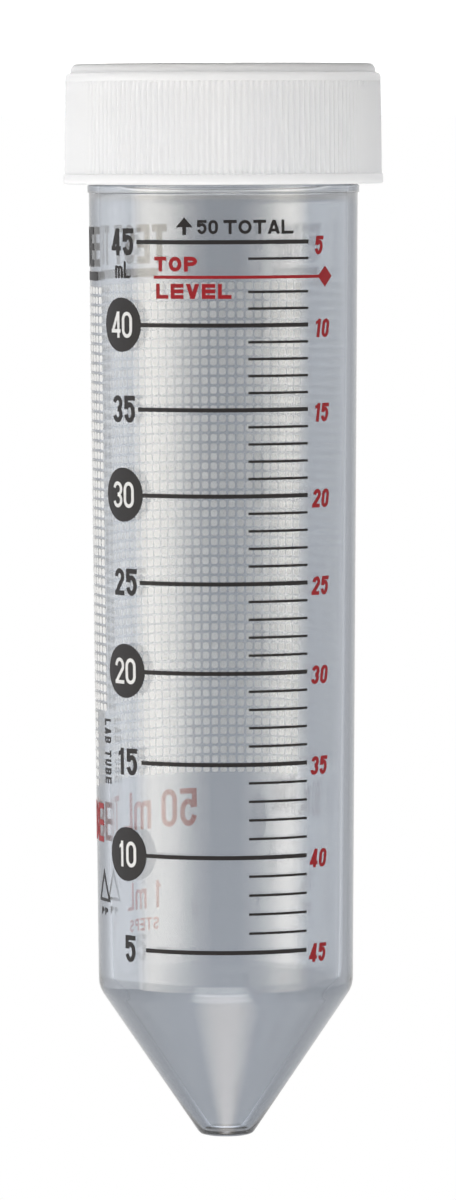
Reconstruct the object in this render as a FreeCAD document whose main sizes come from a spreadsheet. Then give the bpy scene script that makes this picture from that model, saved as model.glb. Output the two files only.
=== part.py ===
import FreeCAD
import Part
import Sketcher

import os
import re

# A 50 ml conical centrifuge tube with its screw cap.
#
# Both pieces are drawn about one common axis, the sketches' vertical axis, with heights
# counted from the flat foot of the cone. A conical tube cannot stand on its foot and rolls on
# its side, so the pair is then turned over and stands on the flat top of the cap, with the
# side that carries the volume scale towards -Y. Millimetres throughout.

DIMENSIONS = {
    # the whole thing
    "total_length": 116.6,
    # tube, outside
    "tube_length": 115.2,
    "foot_radius": 2.83,
    "foot_round": 0.9,
    "shoulder_height": 16.3,
    "shoulder_radius": 13.86,
    "shoulder_round": 3.0,
    "body_top_radius": 14.58,
    "collar_base": 102.7,
    "collar_radius": 14.74,
    "collar_height": 0.8,
    "neck_radius": 14.6,
    # tube, inside
    "mouth_radius": 13.7,
    "mouth_round": 0.3,
    "bore_shoulder_height": 16.9,
    "bore_shoulder_radius": 12.34,
    "bore_shoulder_round": 3.0,
    "floor_height": 1.3,
    "floor_radius": 1.75,
    "floor_round": 0.8,
    # thread on the tube's neck
    "thread_start": 105.4,
    "thread_pitch": 4.0,
    "thread_turns": 1.75,
    "thread_crest_radius": 15.5,
    "thread_root_width": 2.0,
    "thread_crest_width": 0.8,
    "thread_bury": 0.3,
    # cap
    "cap_height": 12.95,
    "cap_top_radius": 16.53,
    "cap_top_round": 0.75,
    "cap_step_depth": 0.95,
    "cap_step_round": 0.5,
    "skirt_top_radius": 17.08,
    "skirt_bottom_radius": 17.2,
    "rim_radius": 17.36,
    "rim_height": 1.1,
    "rim_round": 0.3,
    "cap_bore_radius": 15.8,
    "cap_bore_chamfer": 0.25,
    "cap_top_thickness": 1.3,
    "plug_top_radius": 13.58,
    "plug_tip_radius": 13.42,
    "plug_bore_radius": 12.7,
    "plug_depth": 3.0,
    # grip flutes cut in the cap's skirt
    "flute_count": 162,
    "flute_floor_radius": 16.97,
    "flute_mouth_radius": 17.4,
    "flute_mouth_width": 0.88,
    "flute_length": 10.1,
}


def make_sheet(doc):
    """Write the driving dimensions to a spreadsheet, one alias to a row."""
    sheet = doc.addObject("Spreadsheet::Sheet", "Dimensions")
    for row, (alias, value) in enumerate(DIMENSIONS.items(), start=1):
        sheet.set(f"A{row}", alias.replace("_", " "))
        sheet.set(f"B{row}", str(value))
        sheet.setAlias(f"B{row}", alias)
    return sheet


def cells(formula):
    """Turn the aliases in a formula into references to the spreadsheet."""
    return re.sub(r"[a-z]\w+", lambda word: f"Dimensions.{word.group()}", formula)


def number(sheet, formula):
    return float(sheet.evalExpression(cells(formula)))


def origin_feature(body, role):
    return next(item for item in body.Origin.OriginFeatures if item.Role == role)


def add_sketch(body, name, plane):
    sketch = body.newObject("Sketcher::SketchObject", name)
    sketch.AttachmentSupport = [(origin_feature(body, plane), "")]
    sketch.MapMode = "FlatFace"
    return sketch


def draw_outline(sheet, sketch, corners):
    """Close a polygon through corners, each a pair of formulas held by the sheet."""
    points = [FreeCAD.Vector(number(sheet, x), number(sheet, y), 0) for x, y in corners]
    count = len(points)
    for index, start in enumerate(points):
        sketch.addGeometry(Part.LineSegment(start, points[(index + 1) % count]), False)
    for index in range(count):
        sketch.addConstraint(Sketcher.Constraint("Coincident", index, 2, (index + 1) % count, 1))
    for index, (x, y) in enumerate(corners):
        for kind, axis, formula in (("DistanceX", -2, x), ("DistanceY", -1, y)):
            if formula == "0":
                sketch.addConstraint(Sketcher.Constraint("PointOnObject", index, 1, axis))
                continue
            value = number(sheet, formula)
            place = sketch.addConstraint(Sketcher.Constraint(kind, -1, 1, index, 1, value))
            sketch.setExpression(f"Constraints[{place}]", cells(formula))


def revolve(body, sketch):
    turned = body.newObject("PartDesign::Revolution", sketch.Name + "Turned")
    turned.Profile = sketch
    turned.ReferenceAxis = (sketch, ["V_Axis"])
    turned.Angle = 360
    body.Tip = turned
    return turned


def round_edge(body, name, radius, corner, kind="Fillet"):
    """Round or chamfer the circular edge at corner, a pair of radius and height formulas."""
    doc = body.Document
    doc.recompute()
    sheet = doc.getObject("Dimensions")
    base = body.Tip
    edge_radius, height = (number(sheet, formula) for formula in corner)
    for index, edge in enumerate(base.Shape.Edges, start=1):
        curve = edge.Curve
        if (
            isinstance(curve, Part.Circle)
            and abs(curve.Radius - edge_radius) < 1e-4
            and abs(curve.Center.z - height) < 1e-4
        ):
            break
    else:
        raise ValueError(f"{name}: no edge at {corner}")
    finish = body.newObject(f"PartDesign::{kind}", name)
    finish.Base = (base, [f"Edge{index}"])
    finish.setExpression("Radius" if kind == "Fillet" else "Size", cells(radius))
    body.Tip = finish


def make_tube(doc, sheet):
    """The moulded tube: tapered body, conical bottom, collar, neck and one-start thread."""
    body = doc.addObject("PartDesign::Body", "Tube")
    body.Label = "tube"

    wall = add_sketch(body, "TubeWall", "XZ_Plane")
    collar_top = "collar_base + collar_height"
    draw_outline(sheet, wall, [
        ("0", "0"),
        ("foot_radius", "0"),
        ("shoulder_radius", "shoulder_height"),
        ("body_top_radius", "collar_base"),
        ("collar_radius", "collar_base"),
        ("collar_radius", collar_top),
        ("neck_radius", collar_top),
        ("neck_radius", "tube_length"),
        ("mouth_radius", "tube_length"),
        ("bore_shoulder_radius", "bore_shoulder_height"),
        ("floor_radius", "floor_height"),
        ("0", "floor_height"),
    ])
    revolve(body, wall)

    round_edge(body, "FootRound", "foot_round", ("foot_radius", "0"))
    round_edge(body, "ShoulderRound", "shoulder_round", ("shoulder_radius", "shoulder_height"))
    bore_shoulder = ("bore_shoulder_radius", "bore_shoulder_height")
    round_edge(body, "BoreShoulderRound", "bore_shoulder_round", bore_shoulder)
    round_edge(body, "FloorRound", "floor_round", ("floor_radius", "floor_height"))
    round_edge(body, "MouthInnerRound", "mouth_round", ("mouth_radius", "tube_length"))
    round_edge(body, "MouthOuterRound", "mouth_round", ("neck_radius", "tube_length"))

    # The ridge starts a little inside the neck's wall, so that the two fuse cleanly.
    tooth = add_sketch(body, "ThreadTooth", "XZ_Plane")
    draw_outline(sheet, tooth, [
        ("neck_radius - thread_bury", "thread_start - thread_root_width / 2"),
        ("neck_radius", "thread_start - thread_root_width / 2"),
        ("thread_crest_radius", "thread_start - thread_crest_width / 2"),
        ("thread_crest_radius", "thread_start + thread_crest_width / 2"),
        ("neck_radius", "thread_start + thread_root_width / 2"),
        ("neck_radius - thread_bury", "thread_start + thread_root_width / 2"),
    ])
    thread = body.newObject("PartDesign::AdditiveHelix", "Thread")
    thread.Profile = tooth
    thread.ReferenceAxis = (tooth, ["V_Axis"])
    thread.Mode = "pitch-turns-angle"
    thread.setExpression("Pitch", cells("thread_pitch"))
    thread.setExpression("Turns", cells("thread_turns"))
    thread.LeftHanded = False
    body.Tip = thread
    doc.recompute()
    return body


def make_cap(doc, sheet):
    """The moulded screw cap: stepped top, fluted skirt, plain rim and a plug seal inside."""
    body = doc.addObject("PartDesign::Body", "Cap")
    body.Label = "cap"

    wall = add_sketch(body, "CapWall", "XZ_Plane")
    step = "total_length - cap_step_depth"
    bottom = "total_length - cap_height"
    rim_top = bottom + " + rim_height"
    ceiling = "total_length - cap_top_thickness"
    plug_tip = ceiling + " - plug_depth"
    draw_outline(sheet, wall, [
        ("0", "total_length"),
        ("cap_top_radius", "total_length"),
        ("cap_top_radius", step),
        ("skirt_top_radius", step),
        ("skirt_bottom_radius", rim_top),
        ("rim_radius", rim_top),
        ("rim_radius", bottom),
        ("cap_bore_radius", bottom),
        ("cap_bore_radius", ceiling),
        ("plug_top_radius", ceiling),
        ("plug_tip_radius", plug_tip),
        ("plug_bore_radius", plug_tip),
        ("plug_bore_radius", ceiling),
        ("0", ceiling),
    ])
    revolve(body, wall)

    round_edge(body, "TopRound", "cap_top_round", ("cap_top_radius", "total_length"))
    round_edge(body, "StepRound", "cap_step_round", ("skirt_top_radius", step))
    round_edge(body, "RimRound", "rim_round", ("rim_radius", bottom))
    round_edge(body, "BoreChamfer", "cap_bore_chamfer", ("cap_bore_radius", bottom), "Chamfer")

    # One flute, cut straight up from the rim's top; the drafted skirt makes it deeper below.
    flute = add_sketch(body, "Flute", "XY_Plane")
    flute.setExpression("AttachmentOffset.Base.z", cells(rim_top))
    draw_outline(sheet, flute, [
        ("flute_floor_radius", "0"),
        ("flute_mouth_radius", "flute_mouth_width / 2"),
        ("flute_mouth_radius", "-flute_mouth_width / 2"),
    ])
    solid_volume = volume_after(doc, body)
    cut = body.newObject("PartDesign::Pocket", "FluteCut")
    cut.Profile = flute
    cut.Reversed = True
    cut.setExpression("Length", cells("flute_length"))
    body.Tip = cut
    if volume_after(doc, body) >= solid_volume:
        raise ValueError("the flute removes nothing")

    flutes = body.newObject("PartDesign::PolarPattern", "Flutes")
    flutes.Originals = [cut]
    flutes.Axis = (origin_feature(body, "Z_Axis"), [""])
    flutes.Angle = 360
    flutes.setExpression("Occurrences", cells("flute_count"))
    body.Tip = flutes
    doc.recompute()
    return body


def volume_after(doc, body):
    doc.recompute()
    return body.Shape.Volume


def stand_on_cap(body):
    """Turn a piece upside down, so that the flat top of the cap stands on the floor z = 0."""
    body.Placement = FreeCAD.Placement(
        FreeCAD.Vector(0, 0, 0), FreeCAD.Rotation(FreeCAD.Vector(0, 1, 0), 180)
    )
    body.setExpression("Placement.Base.z", cells("total_length"))


def check(doc, bodies):
    """Stop if any object failed to compute or any piece is not one sound solid."""
    for item in doc.Objects:
        if "Invalid" in item.State or "Error" in item.State:
            raise ValueError(f"{item.Name} failed: {item.State}")
    for body in bodies:
        shape = body.Shape
        if shape.isNull() or not shape.isValid() or len(shape.Solids) != 1:
            raise ValueError(f"{body.Label} is not one sound solid")


os.makedirs("parts", exist_ok=True)
doc = FreeCAD.newDocument("ConicalTube")
dimensions = make_sheet(doc)
doc.recompute()
pieces = [make_tube(doc, dimensions), make_cap(doc, dimensions)]
for piece in pieces:
    stand_on_cap(piece)
doc.recompute()
check(doc, pieces)
for piece in pieces:
    print(f"{piece.Label}: {piece.Shape.Volume:.0f} mm3, {len(piece.Shape.Faces)} faces")
    piece.Shape.exportStep(f"parts/{piece.Label}.step")
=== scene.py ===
import bpy
import numpy as np
from mathutils import Matrix, Vector


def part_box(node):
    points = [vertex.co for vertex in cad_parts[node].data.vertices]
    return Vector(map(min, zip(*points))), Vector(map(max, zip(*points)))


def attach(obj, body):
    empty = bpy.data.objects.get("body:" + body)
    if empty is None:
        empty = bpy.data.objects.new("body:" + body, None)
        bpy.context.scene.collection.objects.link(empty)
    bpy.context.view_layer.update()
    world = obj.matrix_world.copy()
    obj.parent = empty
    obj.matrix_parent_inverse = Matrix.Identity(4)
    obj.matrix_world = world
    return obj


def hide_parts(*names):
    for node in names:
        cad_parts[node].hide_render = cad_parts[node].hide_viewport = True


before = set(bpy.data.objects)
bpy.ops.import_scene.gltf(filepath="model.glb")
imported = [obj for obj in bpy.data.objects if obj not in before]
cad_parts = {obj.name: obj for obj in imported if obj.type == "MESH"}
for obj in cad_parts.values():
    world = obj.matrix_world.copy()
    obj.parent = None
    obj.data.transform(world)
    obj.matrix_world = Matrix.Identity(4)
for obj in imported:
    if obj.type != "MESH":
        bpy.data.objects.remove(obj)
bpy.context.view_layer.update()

# ---------------------------------------------------------------------------------------
# Tube. One injection moulding in clear polypropylene: a slightly tapered body, a conical
# bottom with a flat foot, and a neck with a collar and a one-start thread under the cap.
# It stands on its cap, so heights are counted down from the foot of the cone, at the top.
# ---------------------------------------------------------------------------------------

MM = 0.001
foot_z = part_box("tube")[1].z / MM
tube_length = foot_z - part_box("tube")[0].z / MM
thread_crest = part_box("tube")[1].x / MM

foot_radius, foot_round = 2.83, 0.9
shoulder_radius, shoulder_height = 13.86, 16.3
body_top_radius, collar_base = 14.58, 102.7
collar_radius, collar_height = 14.74, 0.8
neck_radius = 14.6
bore_floor_radius, bore_floor_height = 1.75, 1.3
bore_shoulder_radius, bore_shoulder_height = 12.34, 16.9
mouth_radius = 13.7
thread_start, thread_start_angle = 105.4, np.pi / 2
thread_pitch, thread_turns = 4.0, 1.75


def place(angle, radius, height):
    """Points in metres from round coordinates in millimetres. The angle runs from the middle
    of the scale towards its reader's right, the height from the foot of the cone towards the
    cap: x = -radius sin(angle), y = -radius cos(angle), z = foot - height."""
    points = np.broadcast_arrays(-radius * np.sin(angle), -radius * np.cos(angle), foot_z - height)
    return np.stack(points, axis=-1) * MM


def rounded_outline(corners, arc_step=9):
    """Follow straight runs through corners of (radius, height, rounding, step). A corner with a
    rounding becomes the tangent arc of that radius, a point at least every arc_step degrees;
    the run after it is divided evenly, into pieces no longer than step."""
    spots = np.array([corner[:2] for corner in corners], float)
    runs = np.diff(spots, axis=0)
    ways = runs / np.linalg.norm(runs, axis=1)[:, None]
    outline = [spots[:1]]
    for index in range(1, len(spots)):
        bend = spots[index:index + 1]
        rounding = corners[index][2]
        if index < len(spots) - 1 and rounding:
            before, after = ways[index - 1], ways[index]
            angle = np.arctan2(before[0] * after[1] - before[1] * after[0], before @ after)
            side = np.sign(angle) * np.array([-before[1], before[0]])
            count = max(3, int(np.degrees(abs(angle)) / arc_step) + 2)
            swing = np.linspace(0, abs(angle), count)[:, None]
            start = spots[index] - rounding * np.tan(abs(angle) / 2) * before
            bend = start + rounding * (np.sin(swing) * before + (1 - np.cos(swing)) * side)
        last = outline[-1][-1]
        pieces = int(np.ceil(np.linalg.norm(bend[0] - last) / corners[index - 1][3]))
        outline.append(last + (bend[0] - last) * np.linspace(0, 1, pieces + 1)[1:-1, None])
        outline.append(bend)
    return np.concatenate(outline)


def ridge(angle, height, start, turns, root_width, crest_width):
    """How far a point stands up a helical ridge, from 0 at its foot to 1 on its crest: the
    distance along the height to the nearest turn, measured against the ridge's two widths.
    The ridge rises out of the wall over the first and last eighth of a turn."""
    rise = (height - start) / thread_pitch
    turned = (angle - thread_start_angle) / (2 * np.pi)
    nearest = turned + np.round(rise - turned)
    sides = (root_width / 2 - abs(rise - nearest) * thread_pitch) / ((root_width - crest_width) / 2)
    ends = np.minimum(nearest, turns - nearest) * 8
    return np.clip(np.minimum(sides, ends), 0, 1)


def turned_faces(rows, columns):
    """Faces of a grid of rings that closes on itself round the axis and on a point at each end:
    a fan, the quads between each ring and the next, and a fan."""
    column = np.arange(columns)
    following = (column + 1) % columns
    first = np.stack([np.zeros(columns, int), 1 + following, 1 + column], axis=1)
    ring = 1 + columns * np.arange(rows - 1)[:, None]
    quads = np.stack([ring + column, ring + following, ring + columns + following,
                      ring + columns + column], axis=-1).reshape(-1, 4)
    last_ring, end = 1 + columns * (rows - 1), 1 + columns * rows
    last = np.stack([last_ring + column, last_ring + following, np.full(columns, end)], axis=1)
    return first.tolist() + quads.tolist() + last.tolist()


def add_piece(name, points, faces, material, smooth_angle=None):
    """A mesh object at the origin with one material. Edges flatter than smooth_angle, in
    degrees, are shaded smooth; without it every face is flat."""
    mesh = bpy.data.meshes.new(name)
    mesh.from_pydata(np.asarray(points).tolist(), [], faces)
    if smooth_angle:
        mesh.shade_smooth()
        mesh.set_sharp_from_angle(angle=np.radians(smooth_angle))
    mesh.materials.append(material)
    piece = bpy.data.objects.new(name, mesh)
    bpy.context.scene.collection.objects.link(piece)
    return piece


def linear(hex_colour):
    """An sRGB hex colour as the linear RGBA that Blender's sockets take."""
    srgb = np.array([int(hex_colour[i:i + 2], 16) for i in (1, 3, 5)]) / 255
    rgb = np.where(srgb <= 0.04045, srgb / 12.92, ((srgb + 0.055) / 1.055) ** 2.4)
    return (*rgb.tolist(), 1.0)


def add_node(tree, kind, links=(), **sockets):
    """Add a node. Settings of the node itself are written in lower case and sockets with a
    capital, both with _ for a space; links are (socket, output) pairs."""
    node = tree.nodes.new(kind)
    for name, value in sockets.items():
        if name[0].islower():
            setattr(node, name, value)
        else:
            node.inputs[name.replace("_", " ")].default_value = value
    for socket, output in links:
        tree.links.new(output, node.inputs[socket])
    return node


def new_material(name):
    """A material with an empty node tree, and that tree."""
    material = bpy.data.materials.new(name)
    material.use_nodes = True
    material.node_tree.nodes.clear()
    return material, material.node_tree


# Injection-moulded polypropylene: clear with a faint grey-blue cast that deepens with its
# thickness, a slight haze, glossy outside, and never quite flat, so that what is behind it
# looks a little soft and reflections ripple along the body. Lamps shine straight through it.
# Its ripples are about 7 mm wide, and eight times as long down the body.
ripple_width, ripple_squeeze = 7.14, 0.12
clear_pp, tree = new_material("Moulded clear polypropylene")
where = add_node(tree, "ShaderNodeTexCoord").outputs["Object"]
long_flow = add_node(tree, "ShaderNodeMapping", [("Vector", where)], Scale=(1, 1, ripple_squeeze))
ripple = add_node(tree, "ShaderNodeTexNoise", [("Vector", long_flow.outputs[0])],
                  Scale=1 / (ripple_width * MM), Detail=2, Roughness=0.5)
bump = add_node(tree, "ShaderNodeBump", [("Height", ripple.outputs["Fac"])],
                Strength=0.012, Distance=0.6 * MM)
plastic = add_node(
    tree, "ShaderNodeBsdfPrincipled", [("Normal", bump.outputs[0])],
    Base_Color=linear("#FBFCFD"), Roughness=0.03, IOR=1.49, Transmission_Weight=0.98,
)
lets_light_in = add_node(tree, "ShaderNodeBsdfTransparent", Color=linear("#FCFCFC"))
is_shadow = add_node(tree, "ShaderNodeLightPath").outputs["Is Shadow Ray"]
mixed = add_node(tree, "ShaderNodeMixShader", [
    (0, is_shadow), (1, plastic.outputs[0]), (2, lets_light_in.outputs[0])])
depth = add_node(tree, "ShaderNodeVolumeAbsorption", Color=linear("#9CAABC"), Density=80)
add_node(tree, "ShaderNodeOutputMaterial",
         [("Surface", mixed.outputs[0]), ("Volume", depth.outputs[0])])

outline = rounded_outline([
    (0, 0, 0, 0.9),
    (foot_radius, 0, foot_round, 0.9),
    (shoulder_radius, shoulder_height, 3.0, 1.2),
    (body_top_radius, collar_base, 0.05, 0.5),
    (collar_radius, collar_base, 0.12, 0.4),
    (collar_radius, collar_base + collar_height, 0.05, 0.5),
    (neck_radius, collar_base + collar_height, 0.05, 0.22),
    (neck_radius, tube_length, 0.3, 0.5),
    (mouth_radius, tube_length, 0.3, 1.6),
    (bore_shoulder_radius, bore_shoulder_height, 3.0, 1.2),
    (bore_floor_radius, bore_floor_height, 0.8, 0.6),
    (0, bore_floor_height, 0, 1),
])
tube_columns = 240
angle = np.arange(tube_columns) * 2 * np.pi / tube_columns
radius, height = outline[1:-1, :1], outline[1:-1, 1:]
on_neck = (radius > neck_radius - 0.01) & (height > collar_base + collar_height)
lift = ridge(angle, height, thread_start, thread_turns, root_width=2.0, crest_width=0.8)
radius = radius + on_neck * lift * (thread_crest - neck_radius)
rings = place(angle, radius, height).reshape(-1, 3)
ends = place(0, outline[[0, -1], 0], outline[[0, -1], 1])
tube = add_piece("clear_tube", np.concatenate([ends[:1], rings, ends[1:]]),
                 turned_faces(len(radius), tube_columns), clear_pp, smooth_angle=40)
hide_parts("tube")
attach(tube, "tube")

# ---------------------------------------------------------------------------------------
# Cap. One injection moulding in white polyethylene: a stepped top, a skirt with fine
# upright grip flutes, a plain rim, and inside it a thread and a plug that seals the mouth.
# ---------------------------------------------------------------------------------------

cap_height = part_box("cap")[1].z / MM
rim_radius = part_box("cap")[1].y / MM
total_length = foot_z
cap_bottom = total_length - cap_height
rim_top = cap_bottom + 1.1
cap_step = total_length - 0.95
ceiling = total_length - 1.3
plug_tip, plug_radius = ceiling - 3.0, 12.7
cap_bore_radius, mouth_chamfer = 15.8, 0.25
skirt_foot_radius, skirt_radius, top_radius = 17.2, 17.08, 16.53
flute_count, flute_depth, flute_top = 162, 0.17, rim_top + 9.9
cap_thread_depth, cap_thread_turns = 0.85, 1.5

# Injection-moulded polyethylene: milky white and satin, with light passing a few millimetres
# into it, and a fine grain in its surface from the mould.
grain_size = 0.385
white_pe, tree = new_material("Moulded white polyethylene")
where = add_node(tree, "ShaderNodeTexCoord").outputs["Object"]
grain = add_node(tree, "ShaderNodeTexNoise", [("Vector", where)],
                 Scale=1 / (grain_size * MM), Detail=3)
bump = add_node(tree, "ShaderNodeBump", [("Height", grain.outputs["Fac"])],
                Strength=0.15, Distance=0.08 * MM)
plastic = add_node(
    tree, "ShaderNodeBsdfPrincipled", [("Normal", bump.outputs[0])],
    Base_Color=linear("#D9DBDE"), Roughness=0.42, IOR=1.5, Specular_IOR_Level=0.3,
    Subsurface_Weight=1.0, Subsurface_Radius=(1, 1, 1), Subsurface_Scale=3 * MM,
)
add_node(tree, "ShaderNodeOutputMaterial", [("Surface", plastic.outputs[0])])

outline = rounded_outline([
    (0, ceiling, 0, 4),
    (plug_radius, ceiling, 0.3, 1),
    (plug_radius, plug_tip, 0.2, 1),
    (plug_radius + 0.72, plug_tip, 0.2, 1),
    (plug_radius + 0.88, ceiling, 0.2, 1),
    (cap_bore_radius, ceiling, 0.3, 0.3),
    (cap_bore_radius, cap_bottom + mouth_chamfer, 0.02, 0.4),
    (cap_bore_radius + mouth_chamfer, cap_bottom, 0.02, 0.4),
    (rim_radius, cap_bottom, 0.3, 0.4),
    (skirt_foot_radius + 0.07, rim_top, 0.08, 0.4),
    (skirt_foot_radius, rim_top, 0.02, 0.05),
    (skirt_foot_radius - 0.0012, rim_top + 0.1, 0, 1.1),
    (skirt_radius + 0.005, flute_top, 0, 0.1),
    (skirt_radius + 0.002, flute_top + 0.35, 0, 0.4),
    (skirt_radius, cap_step, 0.5, 0.4),
    (top_radius, cap_step, 0.05, 0.2),
    (top_radius, total_length, 0.75, 4),
    (0, total_length, 0, 1),
], arc_step=18)
# Each flute is a soft wave of four columns: flute_depth deep where the cosine of its angle
# times the count is 1, and nothing where it is -1.
cap_columns = flute_count * 4
angle = np.arange(cap_columns) * 2 * np.pi / cap_columns
groove = flute_depth * (1 + np.cos(flute_count * angle)) / 2
radius, height = outline[1:-1, :1], outline[1:-1, 1:]
on_flutes = (radius > skirt_radius - 0.05) & (height > rim_top + 0.05) & (height < flute_top + 0.01)
on_bore = (abs(radius - cap_bore_radius) < 0.01) & (height > cap_bottom + 0.5)
cap_thread_start = thread_start + thread_pitch / 2
lift = ridge(angle, height, cap_thread_start, cap_thread_turns, root_width=1.5, crest_width=0.6)
radius = radius - on_flutes * groove - on_bore * lift * cap_thread_depth
rings = place(angle, radius, height).reshape(-1, 3)
ends = place(0, outline[[0, -1], 0], outline[[0, -1], 1])
cap = add_piece("screw_cap", np.concatenate([ends[:1], rings, ends[1:]]),
                turned_faces(len(radius), cap_columns), white_pe, smooth_angle=35)
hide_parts("cap")
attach(cap, "cap")

# ---------------------------------------------------------------------------------------
# Front print. Black ink, screen-printed on the outside of the tube: a line at every 5 ml and
# a tick at every 1 ml between them, numbered on the left, with every tenth number in a disc.
# ---------------------------------------------------------------------------------------

# The ink stands a little proud of the wall, and reaches just under its surface. The screen sits
# print_shift nearer the cap than the bore asks for, and has no tick where the red line goes.
ink_over, ink_under = 0.03, -0.02
line_left, disc_line_left, line_right, tick_left = np.radians([-39.7, -38.0, 38.6, 10.4])
line_thickness, tick_thickness = 0.45, 0.27
disc_angle, disc_radius = np.radians(-49.3), 2.92
print_shift, most_volume = 0.1, 43


def tube_radius(height):
    """The body's outside: straight from its radius at the shoulder to that under the collar."""
    share = (height - shoulder_height) / (collar_base - shoulder_height)
    return shoulder_radius + (body_top_radius - shoulder_radius) * share


def fill_height(volume):
    """How high a volume in ml stands in the bore: the cone takes the first part, and above it
    the bore widens evenly, so that its radius grows with the cube root of what it holds."""
    spread = (mouth_radius - bore_shoulder_radius) / (tube_length - bore_shoulder_height)
    cone = np.pi / 3 * (bore_shoulder_height - bore_floor_height) * (
        bore_shoulder_radius ** 2 + bore_shoulder_radius * bore_floor_radius
        + bore_floor_radius ** 2)
    above = volume * 1000 - cone
    radius = np.cbrt(bore_shoulder_radius ** 3 + 3 * spread * above / np.pi)
    return bore_shoulder_height + (radius - bore_shoulder_radius) / spread + print_shift


def on_wall(flat, raised, angle, height):
    """Lay flat points on the tube with their origin at an angle and height: x goes round the
    wall, y along it towards the cap, and raised is how far each point stands out of it."""
    along = height + flat[..., 1]
    return place(angle + flat[..., 0] / tube_radius(height), tube_radius(along) + raised, along)


def join_meshes(parts):
    """Put (points, faces) pairs together, each part's faces counted on from the last one's."""
    starts = np.cumsum([0] + [len(points) for points, _ in parts[:-1]])
    faces = [[int(start) + corner for corner in face]
             for start, (_, part_faces) in zip(starts, parts) for face in part_faces]
    return np.concatenate([points for points, _ in parts]), faces


def divide(path, step=0.6):
    """Add points to a path so that none of its runs is longer than step, and drop repeats."""
    path = path[np.append(True, abs(np.diff(path, axis=0)).sum(axis=1) > 1e-6)]
    runs = np.diff(path, axis=0)
    counts = (np.linalg.norm(runs, axis=1) / step).astype(int) + 1
    shares = [np.linspace(0, 1, count, endpoint=False)[:, None] for count in counts]
    pieces = [start + run * share for start, run, share in zip(path, runs, shares)]
    return np.concatenate(pieces + [path[-1:]])


def stroke(path, pen, angle, height, cut=None, over=ink_over):
    """A stroke of ink on the wall: a section of four corners carried along a flat path, half a
    pen's width to each side of it. Corners are mitred, a path that ends where it starts is a
    loop, and a cut, if given, is the direction in which every section lies instead."""
    path = divide(np.asarray(path, float))
    loop = np.allclose(path[0], path[-1])
    if loop:
        path = path[:-1]
    after = np.roll(path, -1, axis=0) - path
    before = path - np.roll(path, 1, axis=0)
    if not loop:
        after[-1], before[0] = before[-1], after[0]
    ways = [run / np.linalg.norm(run, axis=1)[:, None] for run in (before, after)]
    mean = (ways[0] + ways[1]) / 2
    side = np.stack([-mean[:, 1], mean[:, 0]], axis=1) / (mean ** 2).sum(axis=1)[:, None]
    if cut is not None:
        same_way = np.sign((side * cut).sum())
        side = np.broadcast_to(np.multiply(cut, same_way), side.shape)
    flat = path[:, None] + side[:, None] * (np.array([1, -1, -1, 1]) * pen / 2)[:, None]
    raised = np.array([over, over, ink_under, ink_under])
    points = on_wall(flat, raised, angle, height).reshape(-1, 3)
    corner = np.arange(4)
    beside = np.roll(corner, -1)
    here = np.arange(len(path) if loop else len(path) - 1)[:, None] * 4
    ahead = (here + 4) % len(points)
    faces = np.stack([here + corner, here + beside, ahead + beside, ahead + corner], axis=-1)
    faces = faces.reshape(-1, 4).tolist()
    if not loop:
        last = len(points) - 4
        faces += [[3, 2, 1, 0], [last, last + 1, last + 2, last + 3]]
    return points, faces


def field(rim, angle, height, over=ink_over):
    """A filled shape of ink on the wall: rings that grow evenly from its middle to its rim, on
    top and again underneath. The rim runs clockwise."""
    share = np.array([0.25, 0.5, 0.75, 1.0, 1.0, 0.5])[:, None, None]
    raised = np.array([over] * 4 + [ink_under] * 2)[:, None]
    rings = on_wall(share * rim, raised, angle, height).reshape(-1, 3)
    ends = on_wall(np.zeros((2, 2)), np.array([over, ink_under]), angle, height)
    return np.concatenate([ends[:1], rings, ends[1:]]), turned_faces(len(share), len(rim))


def round_rim(radius, sides=40, power=2.0):
    """A rim where |x| and |y|, each raised to a power, add up to the radius raised to it: a
    circle at 2, and a diamond at 1."""
    around = -np.arange(sides) * 2 * np.pi / sides
    ways = np.stack([np.cos(around), np.sin(around)], axis=1)
    return radius * ways / (abs(ways) ** power).sum(axis=1)[:, None] ** (1 / power)


def arc(centre, reach, start, end):
    """Points of an ellipse from one angle in degrees to another: its centre plus its reach
    across times the cosine, and its reach up times the sine."""
    swing = np.radians(np.linspace(start, end, int(abs(end - start) / 15) + 2))
    return np.array(centre) + np.array(reach) * np.stack([np.cos(swing), np.sin(swing)], axis=1)


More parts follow.
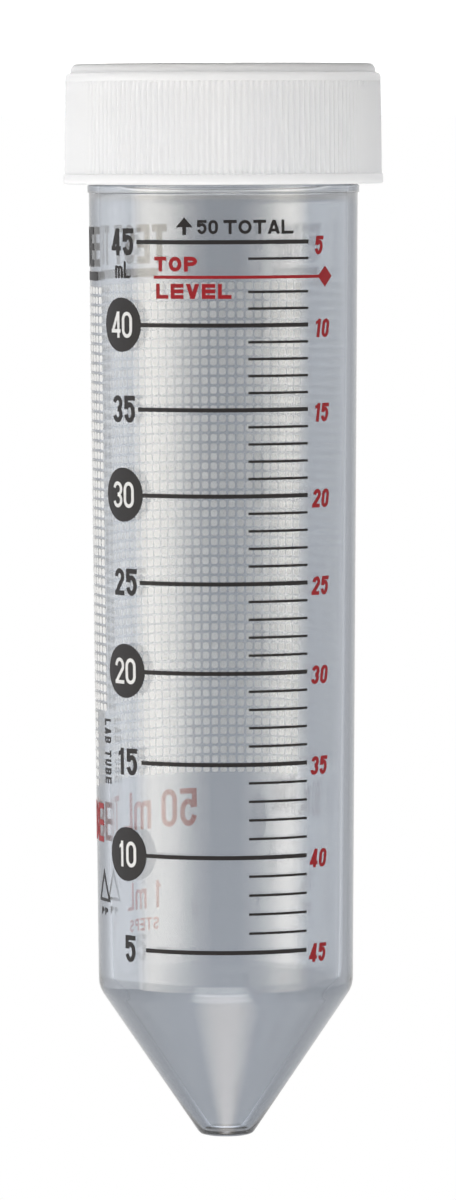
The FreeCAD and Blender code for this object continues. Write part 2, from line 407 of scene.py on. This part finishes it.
def character_strokes(character, wide, tall, pen):
    """Pen strokes of one plain upright character in a box, as (path, cut) pairs: straight runs
    and elliptic arcs along the middles of the strokes. Slanting strokes are cut level."""
    left, right, low, high = pen / 2, wide - pen / 2, pen / 2, tall - pen / 2
    across, up, reach = wide / 2, tall / 2, wide / 2 - pen / 2
    curve = min(1.15 * reach, (high - low) / 2)
    bowl, level = (high - low) / 4, (1.1, 0)
    top, bottom = (across, high - curve), (across, low + curve)
    upper, lower = (across, high - bowl), (across, low + bowl)
    loop = [*arc(top, (reach, curve), 0, 180), *arc(bottom, (reach, curve), 180, 360),
            (right, high - curve)]
    spine = ([(left, 0), (left, tall)], None)
    bars = {y: ([(pen, y), (wide, y)], None) for y in (low, up, high)}
    bowls = [([(pen, y + bowl), (across, y + bowl), *arc((across, y), (reach, bowl), 80, -80),
               (across, y - bowl), (pen, y - bowl)], None) for y in (high - bowl, low + bowl)]
    arch = (right - left) / 4
    arches = [([(x, high - arch), *arc((x + arch, high - arch), (arch, arch), 165, 0),
                (x + 2 * arch, 0)], None) for x in (left, across)]
    stem, one_stem, near_side = wide - 0.95 * pen, across + 0.3 * pen, 0.55 * pen
    shapes = {
        "0": [(loop, None)],
        "1": [([(one_stem, 0), (one_stem, tall)], None),
              ([(one_stem, 0.9 * tall), (across - 0.9 * pen, 0.77 * tall)], (0, 0.9))],
        "2": [([*arc(top, (reach, curve), 180, -25), (left + 0.1 * pen, 0.7 * pen)], None),
              ([(0, low), (wide, low)], None)],
        "3": [(arc(upper, (reach, bowl), 170, -90), None),
              (arc(lower, (reach, bowl), 90, -170), None)],
        "4": [([(stem, 0), (stem, tall)], None),
              ([(stem, tall), (0.6 * pen, 0.27 * tall)], level),
              ([(0, 0.26 * tall), (wide, 0.26 * tall)], None)],
        "5": [([(wide, high), (left + 0.05 * pen, high), (left, 0.5 * tall)], None),
              (arc((across, low + 0.29 * tall), (reach, 0.29 * tall), 150, -165), None)],
        "A": [([(near_side, 0), (across, tall)], level),
              ([(wide - near_side, 0), (across, tall)], level),
              ([(0.2 * wide, 0.27 * tall), (0.8 * wide, 0.27 * tall)], None)],
        "B": [spine, *bowls],
        "E": [spine, *bars.values()],
        "L": [spine, bars[low]],
        "O": [(loop, None)],
        "P": [spine, bowls[0]],
        "S": [([*arc(upper, (reach, bowl), 15, 255), *arc(lower, (reach, bowl), 75, -165)], None)],
        "T": [([(0, high), (wide, high)], None), ([(across, 0), (across, high - pen / 2)], None)],
        "U": [([(left, tall), *arc(bottom, (reach, curve), 180, 360), (right, tall)], None)],
        "V": [([(across, 0), (near_side, tall)], level),
              ([(across, 0), (wide - near_side, tall)], level)],
        "m": [spine, *arches],
        " ": [],
    }
    return shapes[character]


def lettering(text, wide, tall, pen, angle, height, gap=None, slant=0.0, turned=False,
              over=ink_over):
    """Characters in a row about their own middle, each in a box of the same size but for the
    narrow 1 and space, and the wide, low m. Each stroke stands a hair above the last, so none
    share a face. Turned lettering runs along the tube, away from the cap."""
    gap = 0.65 * pen if gap is None else gap
    widths = [wide * {"1": 0.72, "m": 1.45, " ": 0.4}.get(character, 1.0) for character in text]
    starts = np.cumsum([0] + [width + gap for width in widths[:-1]])
    total = starts[-1] + widths[-1]
    parts = []
    for character, start, width in zip(text, starts, widths):
        full_height = 0.74 * tall if character == "m" else tall
        strokes = character_strokes(character, width, full_height, pen)
        for order, (path, cut) in enumerate(strokes):
            flat = np.asarray(path, float) + (start - total / 2, -tall / 2)
            flat[:, 0] += slant * flat[:, 1]
            if turned:
                flat = np.stack([flat[:, 1], -flat[:, 0]], axis=1)
                cut = None if cut is None else (cut[1], -cut[0])
            parts.append(stroke(flat, pen, angle, height, cut, over + 0.002 * order))
    return join_meshes(parts)


def new_ink(name, darker, lighter, patch_size, **finish):
    """Screen-printed ink, whose colour drifts between two shades in patches of a size in
    millimetres. Gives the material, its tree, the colour, and a shader to join to the output."""
    material, tree = new_material(name)
    where = add_node(tree, "ShaderNodeTexCoord").outputs["Object"]
    mottle = add_node(tree, "ShaderNodeTexNoise", [("Vector", where)],
                      Scale=1 / (patch_size * MM), Detail=2)
    shade = add_node(tree, "ShaderNodeMix", [("Factor", mottle.outputs["Fac"])], data_type="RGBA")
    shade.inputs[6].default_value, shade.inputs[7].default_value = linear(darker), linear(lighter)
    film = add_node(tree, "ShaderNodeBsdfPrincipled", [("Base Color", shade.outputs[2])], **finish)
    return material, tree, shade.outputs[2], film.outputs[0]


# Screen-printed black epoxy ink: near black and half glossy, a little uneven in thickness.
black_ink, tree, _, film = new_ink(
    "Screen-printed black ink", "#0B090A", "#151112", 1.11, Roughness=0.5, IOR=1.3)
add_node(tree, "ShaderNodeOutputMaterial", [("Surface", film)])

# Screen-printed white ink: matt, and thin enough that some of the light from behind comes
# through it.
white_ink, tree, shade, film = new_ink(
    "Screen-printed white ink", "#F0F1F1", "#F7F7F7", 0.667, Roughness=0.6, IOR=1.5)
lit_from_behind = add_node(tree, "ShaderNodeBsdfTranslucent", [("Color", shade)])
thin_film = add_node(tree, "ShaderNodeMixShader", [(1, film), (2, lit_from_behind.outputs[0])],
                     Fac=0.35)
add_node(tree, "ShaderNodeOutputMaterial", [("Surface", thin_film.outputs[0])])


def level_line(left, right, height, thickness):
    """A line of ink round the wall from one angle to another."""
    half_span = (right - left) / 2 * tube_radius(height)
    return stroke([(-half_span, 0), (half_span, 0)], thickness, (left + right) / 2, height)


black_parts, white_parts = [], []
fives = np.arange(5, 50, 5)
for volume in fives:
    height = fill_height(volume)
    digits = str(volume)
    in_disc = volume % 10 == 0
    left = line_left if len(digits) > 1 and not in_disc else disc_line_left
    black_parts.append(level_line(left, line_right, height, line_thickness))
    if in_disc:
        black_parts.append(field(round_rim(disc_radius), disc_angle, height))
        white_parts.append(
            lettering(digits, 1.56, 2.8, 0.38, disc_angle, height, over=ink_over + 0.02))
    else:
        angle = np.radians(-48.6 if len(digits) > 1 else -47.7)
        black_parts.append(lettering(digits, 1.6, 2.9, 0.52, angle, height))
for volume in range(6, 45):
    if volume % 5 and volume != most_volume:
        black_parts.append(level_line(tick_left, line_right, fill_height(volume), tick_thickness))
total_height, arrow_angle = total_length - 17.45, np.radians(-16.7)
arrow_head = np.array([(0, 1.05), (0.95, -0.05), (0, 0.25), (-0.95, -0.05)])
black_parts += [
    lettering("mL", 0.88, 1.83, 0.29, np.radians(-48.5), total_length - 22.05, gap=0.2),
    lettering("50", 1.03, 1.5, 0.31, np.radians(-6.7), total_height, gap=0.19),
    lettering("TOTAL", 1.42, 1.5, 0.33, np.radians(15.4), total_height, gap=0.18),
    stroke([(0, -0.85), (0, 0.4)], 0.42, arrow_angle, total_height),
    field(arrow_head, arrow_angle, total_height),
]
black_scale = add_piece("black_scale", *join_meshes(black_parts), black_ink)
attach(black_scale, "tube")
disc_digits = add_piece("disc_digits", *join_meshes(white_parts), white_ink)
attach(disc_digits, "tube")

# ---------------------------------------------------------------------------------------
# Red print. The same kind of ink in red: the volume left in the tube beside each line, in
# slanting figures, and the line with a diamond that marks the most that it should hold.
# ---------------------------------------------------------------------------------------

# Screen-printed red epoxy ink: like the black, and a little thinner, so its red varies more.
red_ink, tree, _, film = new_ink(
    "Screen-printed red ink", "#780A11", "#8A1019", 1.11, Roughness=0.5, IOR=1.3)
add_node(tree, "ShaderNodeOutputMaterial", [("Surface", film)])

red_line_left, red_line_right = np.radians([-30.9, 46.0])
most_height = total_length - 22.8
red_parts = []
for volume in fives:
    height = fill_height(volume) - 0.4
    share = (height - shoulder_height) / (collar_base - shoulder_height)
    spot = np.radians((45.4 if volume < 45 else 43.0) + 1.8 * share)
    red_parts.append(
        lettering(str(50 - volume), 1.12, 2.0, 0.41, spot, height, gap=0.22, slant=0.14))
red_parts += [
    level_line(red_line_left, red_line_right, most_height, 0.34),
    field(round_rim(1.12, sides=24, power=1.0), np.radians(48.4), most_height,
          over=ink_over + 0.004),
    lettering("TOP", 1.45, 1.6, 0.42, np.radians(-20.85), most_height + 1.4, gap=0.28),
    lettering("LEVEL", 1.45, 1.6, 0.42, np.radians(-13.2), most_height - 1.5, gap=0.28),
]
red_scale = add_piece("red_scale", *join_meshes(red_parts), red_ink)
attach(red_scale, "tube")

# ---------------------------------------------------------------------------------------
# Back print. A write-on field of small white squares with rounded corners, under a plain
# heading, with red lettering below it and small black lettering at its side.
# ---------------------------------------------------------------------------------------

grid_left, grid_right = np.radians([141.0, 295.6])
grid_top, grid_bottom = total_length - 23.86, total_length - 78.3
grid_columns, grid_rows = 37, 52
column_pitch = (grid_right - grid_left) / grid_columns
row_pitch = (grid_top - grid_bottom) / grid_rows
square_share, corner_power = 0.73, 4

# Each square's rim is one small superellipse about its middle, laid once under the ink and once
# on top of it. The lowest rows stop short of the last columns, to leave room for lettering.
notch_columns, notch_rows = 3, 8
rim = round_rim(0.5 * square_share, sides=16, power=corner_power)[::-1]
row, column = np.indices((grid_rows, grid_columns))
kept = (column < grid_columns - notch_columns) | (row < grid_rows - notch_rows)
angle = grid_left + (column[kept][:, None] + 0.5 + rim[:, 0]) * column_pitch
height = grid_top - (row[kept][:, None] + 0.5 - rim[:, 1]) * row_pitch
layers = np.stack([place(angle, tube_radius(height) + ink_under, height),
                   place(angle, tube_radius(height) + ink_over, height)], axis=1)
count = len(rim)
point = np.arange(count)
sides = np.stack([point, np.roll(point, -1), np.roll(point, -1) + count, point + count], axis=1)
starts = np.arange(kept.sum())[:, None] * 2 * count
faces = (starts[:, :, None] + sides).reshape(-1, 4).tolist()
faces += (starts + point[::-1]).tolist() + (starts + count + point).tolist()
write_on = add_piece("write_on_squares", layers.reshape(-1, 3), faces, white_ink)
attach(write_on, "tube")

# The heading stands on a bar that runs along the top of the field. Beside the field, one line
# of lettering runs along the tube, and under it a triangle marks the plastic.
triangle = [(0, 1.5), (1.4, -1.45), (-1.4, -1.45), (0, 1.5)]
triangle_angle = np.radians(290)
heading = add_piece("heading", *join_meshes([
    lettering("TEST TUBE", 2.0, 4.3, 0.8, np.radians(246.5), total_length - 19.7, gap=0.4),
    level_line(np.radians(212), np.radians(291), total_length - 22.85, 0.95),
    lettering("LAB TUBE", 0.72, 1.45, 0.26, np.radians(296.1), total_length - 74.1, gap=0.24,
              turned=True),
    stroke(triangle, 0.34, triangle_angle, total_length - 88.9),
    lettering("PP", 0.8, 0.8, 0.24, triangle_angle, total_length - 91.6, gap=0.3),
]), black_ink)
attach(heading, "tube")
red_lettering = add_piece("red_lettering", *join_meshes([
    lettering("50 mL TUBE", 2.15, 4.2, 0.6, np.radians(242), total_length - 82.0, gap=0.4),
    lettering("1 mL", 1.5, 3.0, 0.4, np.radians(227), total_length - 91.4, gap=0.4),
    lettering("STEPS", 0.9, 1.4, 0.26, np.radians(227), total_length - 94.6, gap=0.26),
]), red_ink)
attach(red_lettering, "tube")

# ---------------------------------------------------------------------------------------
# Stage, lights and camera. A pale floor and a white surround, both with painted shade where
# they are seen through the clear wall, and soft lamps whose light fades towards their edges:
# two tall windows with a fill beside each, one lamp high in front of the tube, and one overhead.
# ---------------------------------------------------------------------------------------

scene = bpy.context.scene
scene.view_settings.view_transform = "Standard"
white = (1, 1, 1, 1)


def looked_at(tree):
    """Four switches, each 1 or 0: the surface is seen straight, in a reflection, in either way,
    or through the clear wall. Light that a matt surface has already scattered counts as none:
    its depth is then 1 or more, over the half that the first node compares it with."""
    path = add_node(tree, "ShaderNodeLightPath").outputs
    unscattered = add_node(tree, "ShaderNodeMath", [(0, path["Diffuse Depth"])],
                           operation="LESS_THAN")
    glossy, through_wall = (
        add_node(tree, "ShaderNodeMath", [(0, path[kind]), (1, unscattered.outputs[0])],
                 operation="MULTIPLY").outputs[0]
        for kind in ("Is Glossy Ray", "Is Transmission Ray"))
    # A slightly hazy wall counts what passes through it as glossy too, so that is taken off.
    mirrored = add_node(tree, "ShaderNodeMath", [(0, glossy), (1, through_wall)],
                        operation="SUBTRACT", use_clamp=True).outputs[0]
    seen = add_node(tree, "ShaderNodeMath", [(0, path["Is Camera Ray"]), (1, mirrored)],
                    operation="MAXIMUM").outputs[0]
    return path["Is Camera Ray"], mirrored, seen, through_wall


# Matt paper: pale grey where light falls on it, and white where it is seen. Through the clear
# wall it shows painted shade instead: nearly white close to the tube, darker further off.
floor_glow, floor_half = 0.76, 4.0
painted_level_near_tube, painted_shade_far_off = 0.85, 0.24
floor_paper, tree = new_material("Pale studio floor")
_, _, seen, through_wall = looked_at(tree)
glow_strength = add_node(tree, "ShaderNodeMapRange", [("Value", seen)], To_Max=floor_glow)
glow = add_node(tree, "ShaderNodeEmission", [("Strength", glow_strength.outputs[0])], Color=white)
paper = add_node(tree, "ShaderNodeBsdfDiffuse", Color=linear("#F2F2F2"))
lit = add_node(tree, "ShaderNodeAddShader", [(0, paper.outputs[0]), (1, glow.outputs[0])])
# Painted shade for the paper seen through the wall, set by its distance from the tube.
where = add_node(tree, "ShaderNodeTexCoord").outputs["Object"]
far_off = add_node(tree, "ShaderNodeVectorMath", [(0, where)], operation="LENGTH")
fall_off = add_node(
    tree, "ShaderNodeMapRange", [("Value", far_off.outputs["Value"])],
    interpolation_type="SMOOTHSTEP", From_Min=0.12, From_Max=0.4,
    To_Min=painted_level_near_tube, To_Max=painted_shade_far_off)
painted_shade = add_node(tree, "ShaderNodeEmission", [("Strength", fall_off.outputs[0])], Color=white)
paper_seen = add_node(tree, "ShaderNodeMixShader", [
    (0, through_wall), (1, lit.outputs[0]), (2, painted_shade.outputs[0])])
add_node(tree, "ShaderNodeOutputMaterial", [("Surface", paper_seen.outputs[0])])
corners = np.array([(-1, -1, 0), (1, -1, 0), (1, 1, 0), (-1, 1, 0)]) * floor_half
add_piece("floor", corners, [(0, 1, 2, 3)], floor_paper)

# The surround is white to the camera, nearly white in reflections, and gives a low, slightly
# cool light of its own. Through the clear wall it shows a painted shade, cool like its light:
# darkest near the floor, a little lighter up and to the sides, and bright overhead, so that
# the white print stands out against it.
surround_light, surround_mirrored = 0.34, 0.85
painted_shade_low, painted_shade_high, painted_shade_sides, painted_shade_overhead = 0.24, 0.37, 0.31, 0.95
world = bpy.data.worlds.new("Studio")
scene.world = world
world.use_nodes = True
tree = world.node_tree
tree.nodes.clear()
straight, mirrored, seen, through_wall = looked_at(tree)
around = add_node(tree, "ShaderNodeMapRange", [("Value", mirrored)],
                  To_Min=surround_light, To_Max=surround_mirrored)
bright = add_node(tree, "ShaderNodeMath", [(0, straight), (1, around.outputs[0])],
                  operation="MAXIMUM")
# Painted shade for the surround seen through the wall, set by the direction it is seen in.
way = add_node(tree, "ShaderNodeTexCoord").outputs["Generated"]
split = add_node(tree, "ShaderNodeSeparateXYZ", [("Vector", way)]).outputs
upward = add_node(tree, "ShaderNodeMapRange", [("Value", split["Z"])],
                  From_Max=0.14, To_Min=painted_shade_low, To_Max=painted_shade_high)
off_middle = add_node(tree, "ShaderNodeMath", [(0, split["X"])], operation="ABSOLUTE")
sideways = add_node(
    tree, "ShaderNodeMapRange",
    [("Value", off_middle.outputs[0]), ("To Min", upward.outputs[0])],
    interpolation_type="SMOOTHSTEP", From_Max=0.11, To_Max=painted_shade_sides)
overhead = add_node(
    tree, "ShaderNodeMapRange", [("Value", split["Z"]), ("To Min", sideways.outputs[0])],
    interpolation_type="SMOOTHSTEP", From_Min=0.5, From_Max=0.9, To_Max=painted_shade_overhead)
level = add_node(tree, "ShaderNodeMix", [
    ("Factor", through_wall), ("A", bright.outputs[0]), ("B", overhead.outputs[0])])
tint = add_node(tree, "ShaderNodeMix", [("Factor", seen)], data_type="RGBA")
tint.inputs[6].default_value, tint.inputs[7].default_value = linear("#EAF2FE"), white
light = add_node(tree, "ShaderNodeBackground", [
    ("Strength", level.outputs[0]), ("Color", tint.outputs[2])])
add_node(tree, "ShaderNodeOutputWorld", [("Surface", light.outputs[0])])


def add_softbox(name, bearing, elevation, distance, width, tall, radiance, colour, fade):
    """A rectangular lamp that faces the tube's middle. Its power is radiance x pi x area, and
    its brightness across its width follows the fade, a list of (place, share) stops."""
    lamp = bpy.data.lights.new(name, "AREA")
    lamp.shape = "RECTANGLE"
    lamp.size, lamp.size_y = width, tall
    lamp.energy = radiance * np.pi * width * tall
    lamp.color = linear(colour)[:3]
    lamp.use_nodes = True
    tree = lamp.node_tree
    tree.nodes.clear()
    where = add_node(tree, "ShaderNodeNewGeometry").outputs["Parametric"]
    split = add_node(tree, "ShaderNodeSeparateXYZ", [("Vector", where)]).outputs
    ramp = add_node(tree, "ShaderNodeValToRGB", [("Fac", split["X"])])
    ramp.color_ramp.interpolation = "B_SPLINE"
    for across, share in fade[2:]:
        ramp.color_ramp.elements.new(across)
    for stop, (across, share) in zip(ramp.color_ramp.elements, fade):
        stop.position, stop.color = across, (share, share, share, 1)
    shine = add_node(tree, "ShaderNodeEmission", [("Strength", ramp.outputs["Color"])],
                     Color=white)
    add_node(tree, "ShaderNodeOutputLight", [("Surface", shine.outputs[0])])
    box = bpy.data.objects.new(name, lamp)
    around, up = np.radians(bearing), np.radians(elevation)
    way = Vector((-np.sin(around) * np.cos(up), -np.cos(around) * np.cos(up), np.sin(up)))
    box.location = Vector((0, 0, foot_z / 2 * MM)) + way * distance
    box.rotation_euler = way.to_track_quat("Z", "Y").to_euler()
    box.visible_camera = False
    scene.collection.objects.link(box)


# Lamps: bearing and elevation in degrees, from the scale towards its reader's right; distance,
# width and height in metres; radiance; colour; and the fade from the lamp's one edge to the
# other, which shapes its streak along the tube.
wide_fade = [(0.0, 0.0), (0.15, 1.0), (0.85, 1.0), (1.0, 0.0)]
add_softbox("left_window", -50, 3, 1.0, 1.45, 0.58, 6.1, "#FFF8EC", [
    (0.0, 0.0), (0.3, 0.15), (0.6, 0.7), (0.78, 1.0), (0.9, 0.55), (1.0, 0.1)])
add_softbox("left_fill", -118, 3, 1.0, 1.5, 0.5, 2.5, "#FAFCFF", [
    (0.0, 0.8), (0.15, 1.0), (0.4, 0.8), (0.6, 0.3), (0.8, 0.05), (1.0, 0.0)])
add_softbox("right_window", 47, 3, 1.0, 1.25, 0.58, 3.7, "#FFF6E6", [
    (0.0, 0.1), (0.1, 0.4), (0.25, 0.64), (0.42, 0.9), (0.6, 0.35), (0.8, 0.12), (1.0, 0.0)])
add_softbox("right_fill", 108, 3, 1.0, 1.4, 0.4, 0.5, "#FAFCFF", wide_fade)
add_softbox("high_front", -5, 42, 1.0, 0.9, 0.62, 4.0, "#FFFCF8", wide_fade)
add_softbox("overhead", 0, 74, 0.9, 0.6, 0.45, 2.4, "#FFEEDB", [
    (0.0, 0.0), (0.3, 1.0), (0.7, 1.0), (1.0, 0.0)])

# The camera looks a little up at the tube and is turned over, so that the cap is at the top.
camera = bpy.data.objects.new("camera", bpy.data.cameras.new("camera"))
scene.collection.objects.link(camera)
scene.camera = camera
camera.data.sensor_width = 36
camera.data.lens = 218.6
camera.data.clip_start = 0.05
camera.data.shift_x = 0.0028
camera_rise, camera_roll = np.radians([3.7204, -0.19])
look = Vector((0, np.cos(camera_rise), np.sin(camera_rise)))
upwards = Vector((np.sin(camera_roll), 0, -np.cos(camera_roll)))
right = look.cross(upwards).normalized()
camera.rotation_euler = Matrix((right, right.cross(look), -look)).transposed().to_euler()
camera.location = (0, -0.791, 0.00674)
